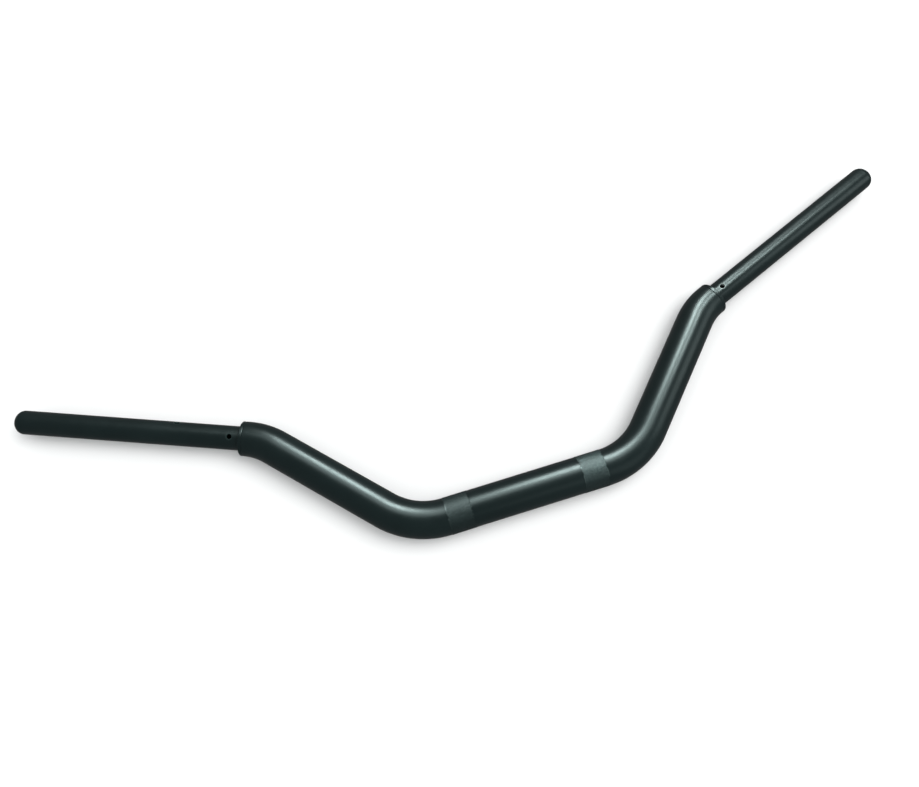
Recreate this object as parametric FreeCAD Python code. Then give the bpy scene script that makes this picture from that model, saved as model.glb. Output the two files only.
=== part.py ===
"""Motorcycle handlebar: a bent fat centre tube with a stepped-down grip tube at each end.

Frame, in millimetres: the bar lies flat. +X runs along the clamp section towards the right grip,
+Y runs from the clamp section towards the grips, and +Z is the normal of the plane that the bar
is bent in. The origin is the middle of the clamp section, on the tube's axis.
"""

import os
from math import atan2, cos, degrees, radians, sin, sqrt, tan

import FreeCAD
import Part
from FreeCAD import Vector

# Driving dimensions, in mm and degrees.
GRIP_OD = 22.2             # grip tubes, the common 7/8 in size
GRIP_WALL = 3.0
FAT_OD = 33.3              # clamp section, bends and risers
FAT_WALL = 4.0
FAT_END_OD = 31.8          # the fat tube draws in through its upper bends to this

CLAMP_HALF = 103.0         # middle of the bar to the lower corner, along X
RISER_X = 111.0            # lower corner to upper corner
RISER_Y = 118.0
GRIP_ANGLE = 22.0          # grips rise from the X direction by this
LOWER_BEND_R = 70.0        # radii of the tube's axis
UPPER_BEND_R = 66.0

BAND_CENTRE = 61.6         # knurled clamp bands: middle of the bar to the middle of each band
BAND_WIDTH = 22.2
BAND_RISE = 0.2            # the knurling swells the tube's surface by this

SEAT_DEPTH = 10.0          # straight counterbore in each end of the fat tube
SEAT_OD = 27.8
OVERRUN = 1.0              # the counterbore's cutter sticks out of the tube's end by this
LIP_LENGTH = 3.5           # visible ring of the reducer bush
LIP_EDGE_R = 0.8
BUSH_MOUTH = 0.6           # chamfer round the spigot where it leaves the bush
SPIGOT_OD = 21.8           # the grip tube is turned down to this inside the bush
SHOULDER_GAP = 0.3         # the full diameter starts this far outside the bush

GRIP_LENGTH = 214.3        # face of the bush to the tip of the end plug
DOME_HEIGHT = 9.0          # rounded end, half an ellipse in section
PLUG_HEAD = 5.0            # the part of the rounded end that belongs to the plug
PLUG_STEM = 16.0
PLUG_STEM_CHAMFER = 1.0

PEG_OD = 4.5               # locating holes for the switch and lever housings
PEG_SINK = 0.5             # chamfer round the mouth of each hole
# Side, distance from the face of the bush, and direction in degrees from +Z towards the riser side.
PEG_HOLES = (
    (-1, 9.2, -10.0),
    (-1, 60.5, 50.0),
    (1, 9.5, 8.0),
)

SIDES = {"left": -1, "right": 1}
UP = Vector(0, 0, 1)


def turned(angle):
    """Unit vector in the bar's plane, at an angle from +X."""
    return Vector(cos(radians(angle)), sin(radians(angle)), 0)


RISER_ANGLE = degrees(atan2(RISER_Y, RISER_X))
LOWER_CORNER = Vector(CLAMP_HALF, 0, 0)
UPPER_CORNER = LOWER_CORNER + Vector(RISER_X, RISER_Y, 0)
CLAMP_DIR = turned(0)
RISER_DIR = turned(RISER_ANGLE)
GRIP_DIR = turned(GRIP_ANGLE)

# The ends of the two bends on the right side.
LOWER_SETBACK = LOWER_BEND_R * tan(radians(RISER_ANGLE) / 2)
UPPER_SETBACK = UPPER_BEND_R * tan(radians(RISER_ANGLE - GRIP_ANGLE) / 2)
LOWER_START = LOWER_CORNER - CLAMP_DIR * LOWER_SETBACK
LOWER_END = LOWER_CORNER + RISER_DIR * LOWER_SETBACK
UPPER_START = UPPER_CORNER - RISER_DIR * UPPER_SETBACK
FAT_END = UPPER_CORNER + GRIP_DIR * UPPER_SETBACK
BUSH_FACE = FAT_END + GRIP_DIR * LIP_LENGTH


def bend(start, direction, radius, turn):
    """Arc that starts along direction and turns by an angle about the centre on its right or left."""
    side = Vector(-direction.y, direction.x, 0) * (1 if turn > 0 else -1)
    centre = start + side * radius

    def point(angle):
        arm = FreeCAD.Rotation(UP, angle).multVec(start - centre)
        return centre + arm

    return Part.Arc(start, point(turn / 2), point(turn)).toShape()


def mirrored(shape):
    """The same shape on the other side of the bar's middle."""
    return shape.mirror(Vector(0, 0, 0), Vector(1, 0, 0))


def lower_bend():
    return bend(LOWER_START, CLAMP_DIR, LOWER_BEND_R, RISER_ANGLE)


def upper_bend():
    return bend(UPPER_START, RISER_DIR, UPPER_BEND_R, GRIP_ANGLE - RISER_ANGLE)


def run(start, end):
    return Part.LineSegment(start, end).toShape()


def spine(with_upper_bends):
    """Axis of the fat tube, from its left end to its right one."""
    right = [lower_bend(), run(LOWER_END, UPPER_START)]
    if with_upper_bends:
        right.append(upper_bend())
    left = [mirrored(edge) for edge in right]
    clamp = run(Vector(-LOWER_START.x, 0, 0), LOWER_START)
    return Part.Wire(Part.__sortEdges__(left + [clamp] + right))


def ring(centre, direction, radius):
    return Part.Wire(Part.Circle(centre, direction, radius).toShape())


def swept(wire, start, direction, radius):
    """Round bar along a wire that starts at a point, going in a direction."""
    return wire.makePipeShell([ring(start, direction, radius)], True, False)


def drawn_end(radius_in, radius_out):
    """Right upper bend as a round bar that narrows from one radius to the other."""
    wire = Part.Wire(upper_bend())
    rings = [ring(UPPER_START, RISER_DIR, radius_in), ring(FAT_END, GRIP_DIR, radius_out)]
    return wire.makePipeShell(rings, True, False)


def across(point):
    """Mirror image of a point or direction, on the left side."""
    return Vector(-point.x, point.y, point.z)


def clamp_band():
    """Swollen ring of the tube's surface where the right clamp grips it."""
    start = Vector(BAND_CENTRE - BAND_WIDTH / 2, 0, 0)
    return Part.makeCylinder(FAT_OD / 2 + BAND_RISE, BAND_WIDTH, start, CLAMP_DIR)


def centre_tube():
    """Fat tube: clamp section, two lower bends, two risers and two drawn-in upper bends."""
    riser_start = across(UPPER_START)
    riser_dir = Vector(RISER_DIR.x, -RISER_DIR.y, 0)
    body = swept(spine(False), riser_start, riser_dir, FAT_OD / 2)
    end = drawn_end(FAT_OD / 2, FAT_END_OD / 2)
    band = clamp_band()
    body = body.fuse([end, mirrored(end), band, mirrored(band)])

    grip_dir = Vector(GRIP_DIR.x, -GRIP_DIR.y, 0)
    bore = swept(spine(True), across(FAT_END), grip_dir, FAT_OD / 2 - FAT_WALL)
    seat_start = FAT_END - GRIP_DIR * SEAT_DEPTH
    seat = Part.makeCylinder(SEAT_OD / 2, SEAT_DEPTH + OVERRUN, seat_start, GRIP_DIR)
    return body.cut([bore, seat, mirrored(seat)])


def turned_part(profile):
    """Solid of revolution about the right grip's axis.

    The profile lists (distance outboard of the bush's face, radius) points. A point with a third
    value is reached through an arc, and the third value is the (distance, radius) it passes.
    """
    def place(distance, radius):
        return Vector(radius, 0, distance)

    edges = []
    for (start, end) in zip(profile, profile[1:] + profile[:1]):
        a, b = place(*start[:2]), place(*end[:2])
        if len(end) > 2:
            edges.append(Part.Arc(a, place(*end[2]), b).toShape())
        else:
            edges.append(Part.LineSegment(a, b).toShape())
    face = Part.Face(Part.Wire(edges))
    solid = face.revolve(Vector(0, 0, 0), UP, 360)
    solid.Placement = FreeCAD.Placement(BUSH_FACE, FreeCAD.Rotation(UP, GRIP_DIR))
    return solid


def dome_radius(below_tip):
    """Radius of the rounded end at a distance inboard of its tip."""
    rise = (DOME_HEIGHT - below_tip) / DOME_HEIGHT
    return GRIP_OD / 2 * sqrt(1 - rise * rise)


def dome_point(below_tip):
    return (GRIP_LENGTH - below_tip, dome_radius(below_tip))


def reducer_bush():
    """Flanged bush that carries the grip tube in the end of the fat tube."""
    seat, lip, bore = SEAT_OD / 2, FAT_END_OD / 2, SPIGOT_OD / 2
    inner = -LIP_LENGTH - SEAT_DEPTH
    corner = LIP_EDGE_R * (1 - sqrt(1 / 2))  # drop half way round the rounded edge
    return turned_part([
        (inner, bore),
        (inner, seat),
        (-LIP_LENGTH, seat),
        (-LIP_LENGTH, lip),
        (-LIP_EDGE_R, lip),
        (0, lip - LIP_EDGE_R, (-corner, lip - corner)),
        (0, bore + BUSH_MOUTH),
        (-BUSH_MOUTH, bore),
    ])


def grip_tube(side):
    """Straight tube with a spigot inboard, its other end rounded in, and its locating holes."""
    outer, bore, spigot = GRIP_OD / 2, GRIP_OD / 2 - GRIP_WALL, SPIGOT_OD / 2
    inner = -LIP_LENGTH - SEAT_DEPTH
    shoulder = GRIP_LENGTH - DOME_HEIGHT
    seam = dome_point(PLUG_HEAD)
    tube = turned_part([
        (inner, bore),
        (inner, spigot),
        (SHOULDER_GAP, spigot),
        (SHOULDER_GAP, outer),
        (shoulder, outer),
        seam + (dome_point((DOME_HEIGHT + PLUG_HEAD) / 2),),
        (seam[0], bore),
    ])
    drills = [peg_drill(at, angle) for (where, at, angle) in PEG_HOLES if where == side]
    return tube.cut(drills)


def peg_drill(distance, angle):
    """Cutter for one locating hole on the right grip: a drill with a chamfered mouth."""
    sideways = Vector(-GRIP_DIR.y, GRIP_DIR.x, 0)
    out = UP * cos(radians(angle)) + sideways * sin(radians(angle))
    axis_point = BUSH_FACE + GRIP_DIR * distance
    drill = Part.makeCylinder(PEG_OD / 2, GRIP_OD, axis_point, out)
    tip = axis_point + out * (GRIP_OD / 2 - PEG_SINK)
    sink = Part.makeCone(PEG_OD / 2, PEG_OD / 2 + 2 * PEG_SINK, 2 * PEG_SINK, tip, out)
    return drill.fuse(sink)


def end_plug():
    """Plug that closes the grip tube: a stem in the bore under a head that is a cap of a sphere."""
    bore = GRIP_OD / 2 - GRIP_WALL
    seam = dome_point(PLUG_HEAD)
    sphere_r = (seam[1] ** 2 + PLUG_HEAD ** 2) / (2 * PLUG_HEAD)
    half_way = PLUG_HEAD / 2
    on_cap = (GRIP_LENGTH - half_way, sqrt(2 * sphere_r * half_way - half_way ** 2))
    stem_end = seam[0] - PLUG_STEM
    return turned_part([
        (stem_end, 0),
        (stem_end, bore - PLUG_STEM_CHAMFER),
        (stem_end + PLUG_STEM_CHAMFER, bore),
        (seam[0], bore),
        seam,
        (GRIP_LENGTH, 0, on_cap),
    ])


def export(name, shape):
    solids = shape.Solids
    assert len(solids) == 1 and solids[0].isValid(), name
    solids[0].exportStep(os.path.join("parts", name + ".step"))
    print(name, round(solids[0].Volume), "mm3")


os.makedirs("parts", exist_ok=True)
export("centre_tube", centre_tube())
for side_name, side in SIDES.items():
    def placed(shape):
        return shape if side > 0 else mirrored(shape)
    export(side_name + "_reducer_bush", placed(reducer_bush()))
    export(side_name + "_grip_tube", placed(grip_tube(side)))
    export(side_name + "_end_plug", placed(end_plug()))
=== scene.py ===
"""Motorcycle handlebar, lying flat on a pale studio floor.

The frame, in metres: +X runs along the clamp section towards the right grip, +Y from the clamp
section towards the grips, and +Z is the normal of the plane that the bar is bent in. The shapes are
worked out in millimetres and degrees, and turned into metres when their meshes are made.
"""

from math import atan2, cos, hypot, pi, radians, sin, sqrt, tan

import bmesh
import bpy
import numpy as np
from mathutils import Matrix, Vector


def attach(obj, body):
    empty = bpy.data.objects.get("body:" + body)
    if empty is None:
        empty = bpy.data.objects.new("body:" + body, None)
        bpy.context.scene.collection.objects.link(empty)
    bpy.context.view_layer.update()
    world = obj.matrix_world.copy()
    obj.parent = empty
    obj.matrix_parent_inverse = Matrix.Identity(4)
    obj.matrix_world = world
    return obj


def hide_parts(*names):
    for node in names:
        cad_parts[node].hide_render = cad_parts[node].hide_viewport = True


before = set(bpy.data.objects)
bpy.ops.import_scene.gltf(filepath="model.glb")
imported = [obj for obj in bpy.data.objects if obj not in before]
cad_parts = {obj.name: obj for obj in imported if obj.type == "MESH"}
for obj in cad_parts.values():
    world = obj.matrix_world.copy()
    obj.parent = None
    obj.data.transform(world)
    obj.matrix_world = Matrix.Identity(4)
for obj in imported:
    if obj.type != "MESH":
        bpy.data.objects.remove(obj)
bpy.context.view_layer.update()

MM = 0.001

# Fat centre tube.
FAT_R = 16.65              # clamp section, lower bends and risers
FAT_END_R = 15.9           # the tube draws in through its upper bends to this
BORE_R = 12.65
SEAT_R = 13.9              # counterbore for the bush
SEAT_DEPTH = 10.0
TUBE_EDGE_R = 0.35         # rounding of the tube's end
CLAMP_HALF = 103.0         # middle of the bar to the lower corner of its axis
RISER_X, RISER_Y = 111.0, 118.0
LOWER_BEND_R, UPPER_BEND_R = 70.0, 66.0
GRIP_ANGLE = radians(22.0)
RISER_ANGLE = atan2(RISER_Y, RISER_X)

# Knurled clamp bands.
BAND_IN, BAND_OUT = 50.5, 72.7
KNURL_CREST = 0.2          # above the tube's surface
KNURL_DEPTH = 0.2
KNURL_COUNT = 80           # grooves of each hand round the tube
KNURL_ANGLE = radians(30)  # of the grooves from the axis
KNURL_EDGE = 0.7           # the knurling fades in over this

# Reducer bush, grip tube and end plug.
LIP_LENGTH = 3.5           # visible ring of the bush
LIP_INNER_EDGE_R = 0.3
LIP_OUTER_EDGE_R = 0.8
BUSH_MOUTH = 0.6           # chamfer round the spigot
SPIGOT_R = 10.9            # part of the grip tube inside the bush
SHOULDER_GAP = 0.3         # the full diameter of the grip tube starts this far outside the bush
GRIP_R = 11.1
GRIP_BORE_R = 8.1
GRIP_LENGTH = 214.3        # face of the bush to the tip of the end plug
DOME_HEIGHT = 9.0
PLUG_HEAD = 5.0            # the part of the dome that belongs to the plug
PLUG_STEM = 16.0
PLUG_STEM_CHAMFER = 1.0
SEAM = 0.18                # bevel on each side of the seam between tube and plug

# Locating holes for the switch and lever housings.
PEG_HOLE_R = 2.25
PEG_SINK = 0.5
# Side, distance outboard of the bush's face, and direction from +Z towards +Y, in degrees.
PEG_HOLES = ((-1, 9.2, -10.0), (-1, 60.5, 50.0), (1, 9.5, 8.0))

SIDES = {"left": -1, "right": 1}

# Mesh density: points round the shapes, and the longest step along them.
SEGMENTS = 120
KNURL_SPLIT = 4            # the knurled bands have this many times as many points round
GRIP_SEGMENTS = 144
DRILL_SEGMENTS = 48
CLAMP_STEP, LOWER_BEND_STEP, RISER_STEP, UPPER_BEND_STEP = 6.0, 1.6, 5.0, 1.2
KNURL_STEP = 0.38
BORE_STEP = 7.0
GRIP_STEP = 8.0
HOLE_STEP, HOLE_REACH = 0.8, 4.0
END_LAND = 1.0             # last plain ring before the tube's rounded end
DOME_RINGS, CAP_RINGS = 12, 24
SHARP_ANGLE = radians(32)

# Lengths along the right half of the tube's axis, from the middle of the bar.
LOWER_SETBACK = LOWER_BEND_R * tan(RISER_ANGLE / 2)
UPPER_SETBACK = UPPER_BEND_R * tan((RISER_ANGLE - GRIP_ANGLE) / 2)
CLAMP_RUN = CLAMP_HALF - LOWER_SETBACK
S_LOWER = CLAMP_RUN + LOWER_BEND_R * RISER_ANGLE
S_UPPER = S_LOWER + hypot(RISER_X, RISER_Y) - LOWER_SETBACK - UPPER_SETBACK
UPPER_ARC = UPPER_BEND_R * (RISER_ANGLE - GRIP_ANGLE)
S_END = S_UPPER + UPPER_ARC


def centre_line(s):
    """Point (x, y) and direction of the tube's axis, at a length s from the middle."""
    side = 1 if s >= 0 else -1
    s = abs(s)
    if s <= CLAMP_RUN:
        x, y, angle = s, 0.0, 0.0
    elif s <= S_LOWER:
        angle = (s - CLAMP_RUN) / LOWER_BEND_R
        x = CLAMP_RUN + LOWER_BEND_R * sin(angle)
        y = LOWER_BEND_R * (1 - cos(angle))
    else:
        angle = RISER_ANGLE
        along = LOWER_SETBACK + min(s, S_UPPER) - S_LOWER
        x = CLAMP_HALF + along * cos(RISER_ANGLE)
        y = along * sin(RISER_ANGLE)
        if s > S_UPPER:
            angle = RISER_ANGLE - (s - S_UPPER) / UPPER_BEND_R
            x += UPPER_BEND_R * (sin(RISER_ANGLE) - sin(angle))
            y += UPPER_BEND_R * (cos(angle) - cos(RISER_ANGLE))
    return side * x, y, side * angle


END_X, END_Y, _ = centre_line(S_END)
FACE_X = END_X + LIP_LENGTH * cos(GRIP_ANGLE)
FACE_Y = END_Y + LIP_LENGTH * sin(GRIP_ANGLE)


def on_grip_axis(side, distance):
    """Point (x, y) on a grip's axis, at a distance outboard of the bush's face."""
    return side * (FACE_X + distance * cos(GRIP_ANGLE)), FACE_Y + distance * sin(GRIP_ANGLE)


def around(count):
    """Evenly spaced angles of a full turn."""
    return np.arange(count) * 2 * pi / count


def ring(centre, angle, radius, count=SEGMENTS):
    """Points of a ring round an axis that lies flat, at an angle from +X. Radius is one or many."""
    phi = around(count)
    radius = np.broadcast_to(radius, (count,))
    across = radius * np.sin(phi)
    return np.stack([
        centre[0] - sin(angle) * across,
        centre[1] + cos(angle) * across,
        radius * np.cos(phi),
    ], axis=1)


class Shell:
    """Rings of points that are joined into a closed surface."""

    def __init__(self):
        self.points = []
        self.faces = []
        self.total = 0

    def add(self, points):
        """Adds a ring, and returns its first index and its number of points."""
        start = self.total
        self.points.append(points)
        self.total += len(points)
        return start, len(points)

    def join(self, a, b):
        """Faces between two rings. One ring may have several times as many points."""
        (a0, na), (b0, nb) = a, b
        if na > nb:
            (a0, na), (b0, nb) = (b0, nb), (a0, na)
        share = nb // na
        for i in range(na):
            p, q = a0 + i, a0 + (i + 1) % na
            if share == 1:
                self.faces.append((p, q, b0 + (i + 1) % nb, b0 + i))
                continue
            fine = [b0 + (i * share + k) % nb for k in range(share + 1)]
            for k in range(share):
                near = p if k < share // 2 else q
                self.faces.append((near, fine[k + 1], fine[k]))
            self.faces.append((p, q, fine[share // 2]))

    def cap(self, at, tip):
        """Faces from a ring to one point."""
        start, count = at
        centre = self.add(np.array([tip]))[0]
        for i in range(count):
            self.faces.append((start + i, start + (i + 1) % count, centre))

    def chain(self, rings, closed=False):
        for a, b in zip(rings, rings[1:]):
            self.join(a, b)
        if closed:
            self.join(rings[-1], rings[0])

    def mesh(self, name):
        """The surface as a mesh in metres."""
        mesh = bpy.data.meshes.new(name)
        mesh.from_pydata((np.concatenate(self.points) * MM).tolist(), [], self.faces)
        return mesh


def finish_mesh(mesh):
    """Normals that point outwards, and smooth shading with sharp edges."""
    edit = bmesh.new()
    edit.from_mesh(mesh)
    bmesh.ops.recalc_face_normals(edit, faces=edit.faces)
    edit.to_mesh(mesh)
    edit.free()
    mesh.shade_smooth()
    mesh.set_sharp_from_angle(angle=SHARP_ANGLE)


def linked(name, data):
    """New object in the scene."""
    obj = bpy.data.objects.new(name, data)
    bpy.context.scene.collection.objects.link(obj)
    return obj


def piece(name, shell, material, node):
    """The object made from a shell, riding on the part and standing for its CAD node."""
    mesh = shell.mesh(name)
    finish_mesh(mesh)
    mesh.materials.append(material)
    obj = linked(name, mesh)
    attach(obj, "root")
    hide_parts(node)
    return obj


def steps(start, end, size):
    """Evenly spaced values from start to end, no further apart than size."""
    round_up = 0.999  # just under 1, so that a rounding error adds no step
    count = max(1, int(abs(end - start) / size + round_up))
    return list(np.linspace(start, end, count + 1))


def edge_round(radius, count=4):
    """(distance back from a square edge, drop below the surface) along its rounding."""
    return [(radius * (1 - sin(a)), radius * (1 - cos(a)))
            for a in np.linspace(0, pi / 2, count + 1)]


def fat_radius(s):
    share = max(0.0, abs(s) - S_UPPER) / UPPER_ARC
    return FAT_R + (FAT_END_R - FAT_R) * share


def knurled(x, count):
    """Radii round one ring of a knurled band."""
    turn = KNURL_COUNT * around(count) / (2 * pi)
    lean = x * tan(KNURL_ANGLE) * KNURL_COUNT / (2 * pi * FAT_R)

    def crest(phase):
        return 1 - np.abs(2 * (phase % 1.0) - 1)

    height = np.minimum(crest(turn + lean), crest(turn - lean))
    fade = min(1.0, (abs(x) - BAND_IN) / KNURL_EDGE, (BAND_OUT - abs(x)) / KNURL_EDGE)
    return FAT_R + KNURL_CREST - KNURL_DEPTH * fade * (1 - height)


def tube_stations():
    """Lengths along the axis that get a ring, from left to right, without those in the bands."""
    half = steps(0, BAND_IN, CLAMP_STEP) + steps(BAND_OUT, S_LOWER, LOWER_BEND_STEP)
    half += steps(S_LOWER, S_UPPER, RISER_STEP)[1:]
    half += steps(S_UPPER, S_END - END_LAND, UPPER_BEND_STEP)[1:]
    return sorted({side * s for side in (-1, 1) for s in half})


def centre_tube(material):
    """Fat tube as one loop of rings: over its outside, and back through its seats and bore."""
    shell = Shell()
    rings = []

    def tube_ring(s, radius, count=SEGMENTS):
        x, y, angle = centre_line(s)
        rings.append(shell.add(ring((x, y), angle, radius, count)))

    rounded_end = [(S_END - back, FAT_END_R - drop) for back, drop in edge_round(TUBE_EDGE_R)]
    for s, radius in reversed(rounded_end):
        tube_ring(-s, radius)
    band_rows = steps(BAND_IN, BAND_OUT, KNURL_STEP)
    fine = SEGMENTS * KNURL_SPLIT
    for s in tube_stations():
        if s in (-BAND_OUT, BAND_IN):
            tube_ring(s, FAT_R)
            for x in (band_rows if s > 0 else [-row for row in reversed(band_rows)]):
                tube_ring(x, knurled(x, fine), fine)
        else:
            tube_ring(s, fat_radius(s))
    for s, radius in rounded_end:
        tube_ring(s, radius)

    for side in (1, -1):
        angle = side * GRIP_ANGLE
        mouth = shell.add(ring((side * END_X, END_Y), angle, SEAT_R))
        seat = shell.add(ring(on_grip_axis(side, -LIP_LENGTH - SEAT_DEPTH), angle, SEAT_R))
        if side > 0:
            rings += [mouth, seat]
            for s in steps(S_END - SEAT_DEPTH, -(S_END - SEAT_DEPTH), BORE_STEP):
                tube_ring(s, BORE_R)
        else:
            rings += [seat, mouth]
    shell.chain(rings, closed=True)
    return piece("centre_tube_skin", shell, material, "centre_tube")


def lathe(side, profile, count=SEGMENTS, closed=True):
    """Shell turned round a grip's axis from (distance outboard of the bush's face, radius) pairs."""
    shell = Shell()
    rings, tips = [], []
    for along, radius in profile:
        centre = on_grip_axis(side, along)
        if radius == 0:
            tips.append((len(rings), (*centre, 0.0)))
        else:
            rings.append(shell.add(ring(centre, side * GRIP_ANGLE, radius, count)))
    shell.chain(rings, closed=closed)
    for at, tip in tips:
        shell.cap(rings[0] if at == 0 else rings[-1], tip)
    return shell


def bush(side_name, side, material):
    """Reducer bush: a sleeve in the tube's seat, under a lip with rounded edges."""
    inner = -LIP_LENGTH - SEAT_DEPTH
    profile = [(inner, SPIGOT_R), (inner, SEAT_R), (-LIP_LENGTH, SEAT_R)]
    profile += [(-LIP_LENGTH + drop, FAT_END_R - back)
                for back, drop in reversed(edge_round(LIP_INNER_EDGE_R, 3))]
    profile += [(-back, FAT_END_R - drop) for back, drop in edge_round(LIP_OUTER_EDGE_R, 6)]
    profile += [(0, SPIGOT_R + BUSH_MOUTH), (-BUSH_MOUTH, SPIGOT_R)]
    return piece(side_name + "_collar", lathe(side, profile), material,
                 side_name + "_reducer_bush")


def dome_radius(below_tip):
    """Radius of the half ellipse that rounds a grip's end, at a distance inboard of its tip."""
    rise = (DOME_HEIGHT - below_tip) / DOME_HEIGHT
    return GRIP_R * sqrt(1 - rise * rise)


def peg_frame(side, distance, angle_deg):
    """Point on the grip's axis, in metres, and outward direction of a hole."""
    angle = radians(angle_deg)
    across = Vector((-sin(GRIP_ANGLE) * side, cos(GRIP_ANGLE), 0))
    out = Vector((0, 0, 1)) * cos(angle) + across * sin(angle)
    return Vector((*on_grip_axis(side, distance), 0)) * MM, out


def drill(side, distance, angle_deg):
    """Cutter for one hole: a drill that starts in the tube's bore and widens at its mouth."""
    start, past = 5.0, 1.5  # from the tube's axis, and beyond its surface
    rows = [(start, PEG_HOLE_R), (GRIP_R - PEG_SINK, PEG_HOLE_R),
            (GRIP_R + past, PEG_HOLE_R + PEG_SINK + past)]
    phi = around(DRILL_SEGMENTS)
    shell = Shell()
    rings = [shell.add(np.stack([r * np.cos(phi), r * np.sin(phi), np.full_like(phi, h)], axis=1))
             for h, r in rows]
    shell.chain(rings)
    shell.cap(rings[0], (0, 0, rows[0][0]))
    shell.cap(rings[-1], (0, 0, rows[-1][0]))
    mesh = shell.mesh("drill")
    axis, out = peg_frame(side, distance, angle_deg)
    mesh.transform(Matrix.Translation(axis) @ out.to_track_quat("Z", "Y").to_matrix().to_4x4())
    finish_mesh(mesh)
    return linked("drill", mesh)


def grip_tube(side_name, side, material):
    """Thin tube with its spigot in the bush, its far end rounded in, and its holes drilled."""
    holes = sorted((at, angle) for where, at, angle in PEG_HOLES if where == side)
    runs = [SHOULDER_GAP]
    for at, _ in holes:
        runs += steps(runs[-1], at - HOLE_REACH, GRIP_STEP)[1:]
        runs += steps(at - HOLE_REACH, at + HOLE_REACH, HOLE_STEP)[1:]
    runs += steps(runs[-1], GRIP_LENGTH - DOME_HEIGHT, GRIP_STEP)[1:]
    inner, seam = -LIP_LENGTH - SEAT_DEPTH, GRIP_LENGTH - PLUG_HEAD
    profile = [(inner, GRIP_BORE_R), (inner, SPIGOT_R), (SHOULDER_GAP, SPIGOT_R)]
    profile += [(along, GRIP_R) for along in runs]
    profile += [(GRIP_LENGTH - below, dome_radius(below))
                for below in np.linspace(DOME_HEIGHT, PLUG_HEAD + SEAM, DOME_RINGS)[1:]]
    profile += [(seam, dome_radius(PLUG_HEAD) - SEAM), (seam, GRIP_BORE_R)]
    profile += [(along, GRIP_BORE_R) for along in reversed(runs[1:-1])]
    obj = piece(side_name + "_grip_tube_skin", lathe(side, profile, GRIP_SEGMENTS), material,
                side_name + "_grip_tube")
    for at, angle in holes:
        cut_hole(obj, drill(side, at, angle))
    finish_mesh(obj.data)
    return obj


def cut_hole(obj, cutter):
    """Cuts one object out of another, and deletes it."""
    cut = obj.modifiers.new("peg_hole", "BOOLEAN")
    cut.operation, cut.solver, cut.object = "DIFFERENCE", "EXACT", cutter
    bpy.context.view_layer.update()
    graph = bpy.context.evaluated_depsgraph_get()
    mesh = bpy.data.meshes.new_from_object(obj.evaluated_get(graph))
    obj.modifiers.clear()
    obj.data = mesh
    bpy.data.objects.remove(cutter)


def end_plug(side_name, side, material):
    """Plug with a chamfered stem in the tube's bore, under a head that is a cap of a sphere."""
    seam, seam_r = GRIP_LENGTH - PLUG_HEAD, dome_radius(PLUG_HEAD)
    sphere_r = (seam_r ** 2 + PLUG_HEAD ** 2) / (2 * PLUG_HEAD)
    stem_end = seam - PLUG_STEM
    profile = [(stem_end, 0), (stem_end, GRIP_BORE_R - PLUG_STEM_CHAMFER),
               (stem_end + PLUG_STEM_CHAMFER, GRIP_BORE_R), (seam, GRIP_BORE_R),
               (seam, seam_r - SEAM)]
    profile += [(GRIP_LENGTH - below, sqrt(2 * sphere_r * below - below ** 2))
                for below in np.linspace(PLUG_HEAD - SEAM, 0, CAP_RINGS)[:-1]]
    profile.append((GRIP_LENGTH, 0))
    return piece(side_name + "_plug_cap", lathe(side, profile, closed=False), material,
                 side_name + "_end_plug")


class Nodes:
    """Short hand for the nodes of one material."""

    def __init__(self, name):
        self.material = bpy.data.materials.new(name)
        self.material.use_nodes = True
        self.tree = self.material.node_tree
        self.tree.nodes.clear()
        self.place = self.add("ShaderNodeTexCoord").outputs["Object"]

    def put(self, socket, value):
        """Links an input socket to another node's output, or gives it a value."""
        if isinstance(value, bpy.types.NodeSocket):
            self.tree.links.new(value, socket)
        else:
            socket.default_value = value

    def add(self, kind, inputs=(), **settings):
        node = self.tree.nodes.new(kind)
        for key, value in settings.items():
            setattr(node, key, value)
        for socket, value in dict(inputs).items():
            self.put(node.inputs[socket], value)
        return node

    def noise(self, scale, detail, rough=0.5):
        inputs = {"Scale": scale, "Detail": detail, "Roughness": rough, "Vector": self.place}
        return self.add("ShaderNodeTexNoise", inputs).outputs["Fac"]

    def spread(self, value, low, high, to_low, to_high):
        """Value stretched from one range to another, and held inside it."""
        node = self.add("ShaderNodeMapRange", {"Value": value, "From Min": low, "From Max": high,
                                               "To Min": to_low, "To Max": to_high})
        return node.outputs["Result"]

    def mix(self, factor, a, b):
        """Colour between a and b. Each is an output socket or three numbers."""
        node = self.add("ShaderNodeMix", {"Factor": factor}, data_type="RGBA")
        socket_a, socket_b = node.inputs[6:8]  # the colour ones
        for socket, value in ((socket_a, a), (socket_b, b)):
            self.put(socket, value if isinstance(value, bpy.types.NodeSocket) else (*value, 1.0))
        return node.outputs[2]  # the colour one

    def math(self, operation, a, b=0.0):
        return self.add("ShaderNodeMath", {0: a, 1: b}, operation=operation).outputs[0]

    def times(self, a, b):
        return self.math("MULTIPLY", a, b)

    def plus(self, a, b):
        return self.math("ADD", a, b)

    def surface(self, shader):
        out = self.add("ShaderNodeOutputMaterial")
        self.tree.links.new(shader, out.inputs["Surface"])
        return self.material


def scaled(colour, factor):
    return [c * factor for c in colour]


BLACK = (0.0042, 0.0088, 0.0092)
# Band tint: worn crests, with a painted highlight on the top side of the bands.
BAND_WEAR_AND_HIGHLIGHT = (0.12, 0.17, 0.165)
# Rims of the holes, by side: worn metal, painted bright on the right where that hole lies in the
# highlight, and hardly lighter on the left.
RIM_WEAR_AND_HIGHLIGHT = {1: (0.16, 0.19, 0.185), -1: (0.012, 0.022, 0.022)}
RIM_IN, RIM_OUT = 2.8, 3.4  # the rim tint fades out between these radii, in mm
LEFT_BAND_SHARE = 0.35           # share of the right band's worn and highlight tint that the left band gets
RAGGED = 1.4               # the outline of the bands' tint and roughness strays by this, in mm


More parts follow.
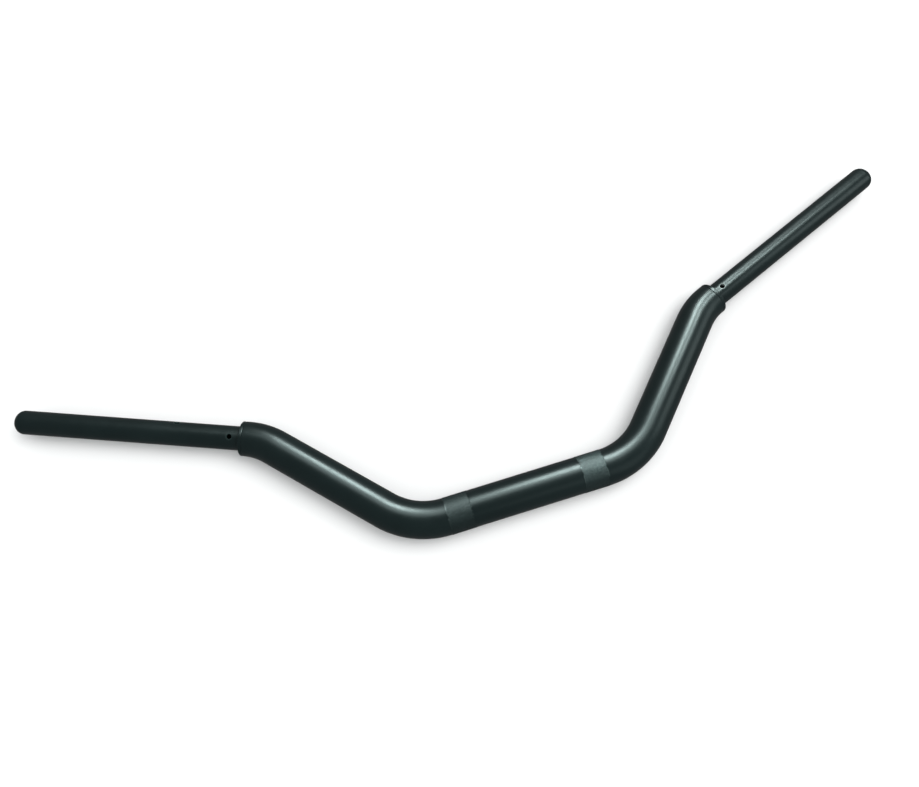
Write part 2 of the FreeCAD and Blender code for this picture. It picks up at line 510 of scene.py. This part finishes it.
def band_wear_and_highlight(n):
    """Where the knurled bands are, and how far their crests are worn and carry a painted highlight on
    their top side, both from 0 to 1.
    """
    x, y, z = n.add("ShaderNodeSeparateXYZ", {0: n.place}).outputs
    ragged = n.spread(n.noise(260.0, 3.0, 0.6), 0.3, 0.7, -RAGGED * MM, RAGGED * MM)
    across = n.plus(n.math("ABSOLUTE", x), ragged)
    fade = 0.1
    on = n.times(n.spread(across, (BAND_IN - fade) * MM, (BAND_IN + fade) * MM, 0, 1),
                 n.spread(across, (BAND_OUT - fade) * MM, (BAND_OUT + fade) * MM, 1, 0))
    radial = n.math("SQRT", n.plus(n.times(y, y), n.times(z, z)))
    crest = n.spread(radial, (FAT_R + 0.02) * MM, (FAT_R + 0.19) * MM, 0.1, 1.0)
    fleck = n.spread(n.noise(750.0, 3.0, 0.7), 0.35, 0.68, 0.25, 1.3)
    wear_and_highlight = n.times(n.times(on, crest), fleck)
    wear_and_highlight = n.times(wear_and_highlight, n.spread(x, -0.01, 0.01, LEFT_BAND_SHARE, 1.0))
    # Painted highlight: the worn tint is kept to the top, a little towards the riser side, where the
    # knurl catches the light.
    facing = n.plus(n.times(y, 0.27), n.times(z, 0.96))
    painted_highlight_side = n.spread(facing, 0.5 * FAT_R * MM, 0.93 * FAT_R * MM, 0.1, 1.0)
    return on, n.times(wear_and_highlight, painted_highlight_side)


def satin_black(name, colour, roughness, holes=(), bands=False):
    """Satin coating on metal: fine texture, faint scuffs, and wear with a painted highlight on the
    knurled bands and hole rims.
    """
    n = Nodes(name)
    patches = n.noise(28.0, 4.0)
    grain = n.noise(2600.0, 2.0, 0.6)
    scuff = n.noise(160.0, 6.0, 0.65)
    shade = n.spread(patches, 0.35, 0.65, 0.0, 1.0)
    tint = n.mix(shade, scaled(colour, 0.9), scaled(colour, 1.12))
    tint = n.mix(n.spread(grain, 0.3, 0.75, 0.0, 0.3), tint, scaled(colour, 1.4))
    rough = n.plus(n.spread(patches, 0.3, 0.7, -0.015, 0.02),
                   n.spread(scuff, 0.45, 0.75, roughness, roughness + 0.05))
    metal = 0.0
    if bands:
        on, wear_and_highlight = band_wear_and_highlight(n)
        # Wear and painted highlight: the band tint is lighter on the top side of the bands.
        tint = n.mix(wear_and_highlight, tint, BAND_WEAR_AND_HIGHLIGHT)
        rough = n.plus(rough, n.times(on, 0.08))
        metal = n.times(wear_and_highlight, 0.5)
    for side, at, angle in holes:
        axis, out = peg_frame(side, at, angle)
        mouth = tuple(axis + out * GRIP_R * MM)
        gap = n.add("ShaderNodeVectorMath", {0: n.place, 1: mouth}, operation="DISTANCE")
        uneven = n.plus(gap.outputs["Value"], n.spread(scuff, 0.3, 0.7, -0.2 * MM, 0.2 * MM))
        # Worn rim with painted highlight: the right hole's rim is tinted bright where it lies in the
        # highlight.
        rim_wear_and_highlight = n.spread(uneven, RIM_IN * MM, RIM_OUT * MM, 1.0, 0.0)
        tint = n.mix(rim_wear_and_highlight, tint, RIM_WEAR_AND_HIGHLIGHT[side])
    height = n.plus(n.times(grain, 0.6), n.times(scuff, 0.6))
    bump = n.add("ShaderNodeBump", {"Strength": 0.02, "Distance": 0.1 * MM, "Height": height})
    shader = n.add("ShaderNodeBsdfPrincipled", {
        "Base Color": tint, "Roughness": rough, "Metallic": metal, "Normal": bump.outputs[0],
        "IOR": 1.38, "Specular IOR Level": 0.5, "Specular Tint": (0.79, 1.0, 0.98, 1.0),
    })
    return n.surface(shader.outputs[0])


def pale_floor():
    n = Nodes("studio_floor")
    tone = n.spread(n.noise(3.0, 4.0), 0.3, 0.7, 0.0, 1.0)
    tint = n.mix(tone, (0.80, 0.80, 0.80), (0.82, 0.82, 0.82))
    shader = n.add("ShaderNodeBsdfPrincipled", {
        "Base Color": tint, "Roughness": 0.9, "Specular IOR Level": 0.1,
    })
    return n.surface(shader.outputs[0])


def lay_floor():
    """Floor under the knurled bands. The coating doesn't mirror it, which keeps the edges dark."""
    half = 40.0
    level = -(FAT_R + KNURL_CREST) * MM
    mesh = bpy.data.meshes.new("floor")
    corners = [(-half, -half, level), (half, -half, level), (half, half, level), (-half, half, level)]
    mesh.from_pydata(corners, [], [(0, 1, 2, 3)])
    mesh.materials.append(pale_floor())
    floor = linked("floor", mesh)
    floor.visible_glossy = False


def softbox(name, direction, width, height, radiance, roll=0.0, distance=2.0):
    """Soft box that faces the bar. Radiance is against a floor of about 1."""
    light = bpy.data.lights.new(name, "AREA")
    light.shape, light.size, light.size_y = "RECTANGLE", width, height
    light.energy = radiance * width * height * pi
    obj = linked(name, light)
    towards = Vector(direction).normalized()
    side = Vector((0, 1, 0)).cross(towards).normalized()
    axes = Matrix((side, towards.cross(side), towards)).transposed()
    obj.rotation_mode = "QUATERNION"
    obj.rotation_quaternion = (axes @ Matrix.Rotation(radians(roll), 3, "Z")).to_quaternion()
    obj.location = Vector((0.0, 0.1, 0.0)) + towards * distance
    return obj


def light_studio():
    """Five soft boxes that show as highlights, and a broad one for the floor's soft shadow."""
    highlights = (
        softbox("strip_softbox", (0.235, 0.62, 0.75), 0.36, 0.75, radiance=58.0, roll=-22.0),
        softbox("end_softbox", (0.475, 0.33, 0.815), 0.30, 0.40, radiance=55.0, roll=-22.0),
        softbox("wide_softbox", (0.05, 0.36, 0.93), 1.0, 0.9, radiance=5.0),
        softbox("side_softbox", (0.86, -0.20, 0.46), 1.1, 0.6, radiance=2.4),
        softbox("front_softbox", (0.45, -0.75, 0.48), 1.6, 1.0, radiance=0.6),
    )
    for box in highlights:
        box.visible_diffuse = False
    overhead = softbox("overhead_softbox", (0.47, -0.04, 0.87), 3.0, 3.0, radiance=3.65, distance=4.0)
    overhead.visible_glossy = False


def wall_light():
    """Studio walls: dark in reflections, while the floor gets light from all round."""
    world = bpy.data.worlds.new("studio")
    bpy.context.scene.world = world
    world.use_nodes = True
    tree = world.node_tree
    tree.nodes.clear()
    paths = tree.nodes.new("ShaderNodeLightPath")
    strength = tree.nodes.new("ShaderNodeMapRange")
    strength.inputs["To Min"].default_value = 0.2
    strength.inputs["To Max"].default_value = 1.0
    tree.links.new(paths.outputs["Is Diffuse Ray"], strength.inputs["Value"])
    background = tree.nodes.new("ShaderNodeBackground")
    background.inputs["Color"].default_value = (0.98, 1.0, 1.0, 1.0)
    tree.links.new(strength.outputs["Result"], background.inputs["Strength"])
    tree.links.new(background.outputs[0], tree.nodes.new("ShaderNodeOutputWorld").inputs[0])


def place_camera():
    """Camera above and in front of the clamp section, a little left of the middle."""
    stand = Vector((-81.97, -140.75, 702.94)) * MM
    aim = Vector((-28.74, 106.10, 0.0)) * MM
    roll = -5.258
    data = bpy.data.cameras.new("camera")
    data.sensor_width = 36.0
    data.lens = 31.65
    data.clip_start, data.clip_end = 0.01, 100.0
    data.dof.use_dof = False
    camera = linked("camera", data)
    camera.location = stand
    camera.rotation_mode = "QUATERNION"
    level = (aim - stand).to_track_quat("-Z", "Y").to_matrix()
    camera.rotation_quaternion = (level @ Matrix.Rotation(radians(roll), 3, "Z")).to_quaternion()
    bpy.context.scene.camera = camera


tube_coat = satin_black("tube_coat", BLACK, 0.30, bands=True)
collar_coat = satin_black("collar_coat", scaled(BLACK, 0.95), 0.30)
plug_coat = satin_black("plug_coat", scaled(BLACK, 0.95), 0.31)

centre_tube(tube_coat)
for side_name, side in SIDES.items():
    near = [hole for hole in PEG_HOLES if hole[0] == side]
    bush(side_name, side, collar_coat)
    grip_tube(side_name, side, satin_black(side_name + "_grip_coat", BLACK, 0.30, holes=near))
    end_plug(side_name, side, plug_coat)

lay_floor()
light_studio()
wall_light()
place_camera()
bpy.context.scene.view_settings.view_transform = "Standard"
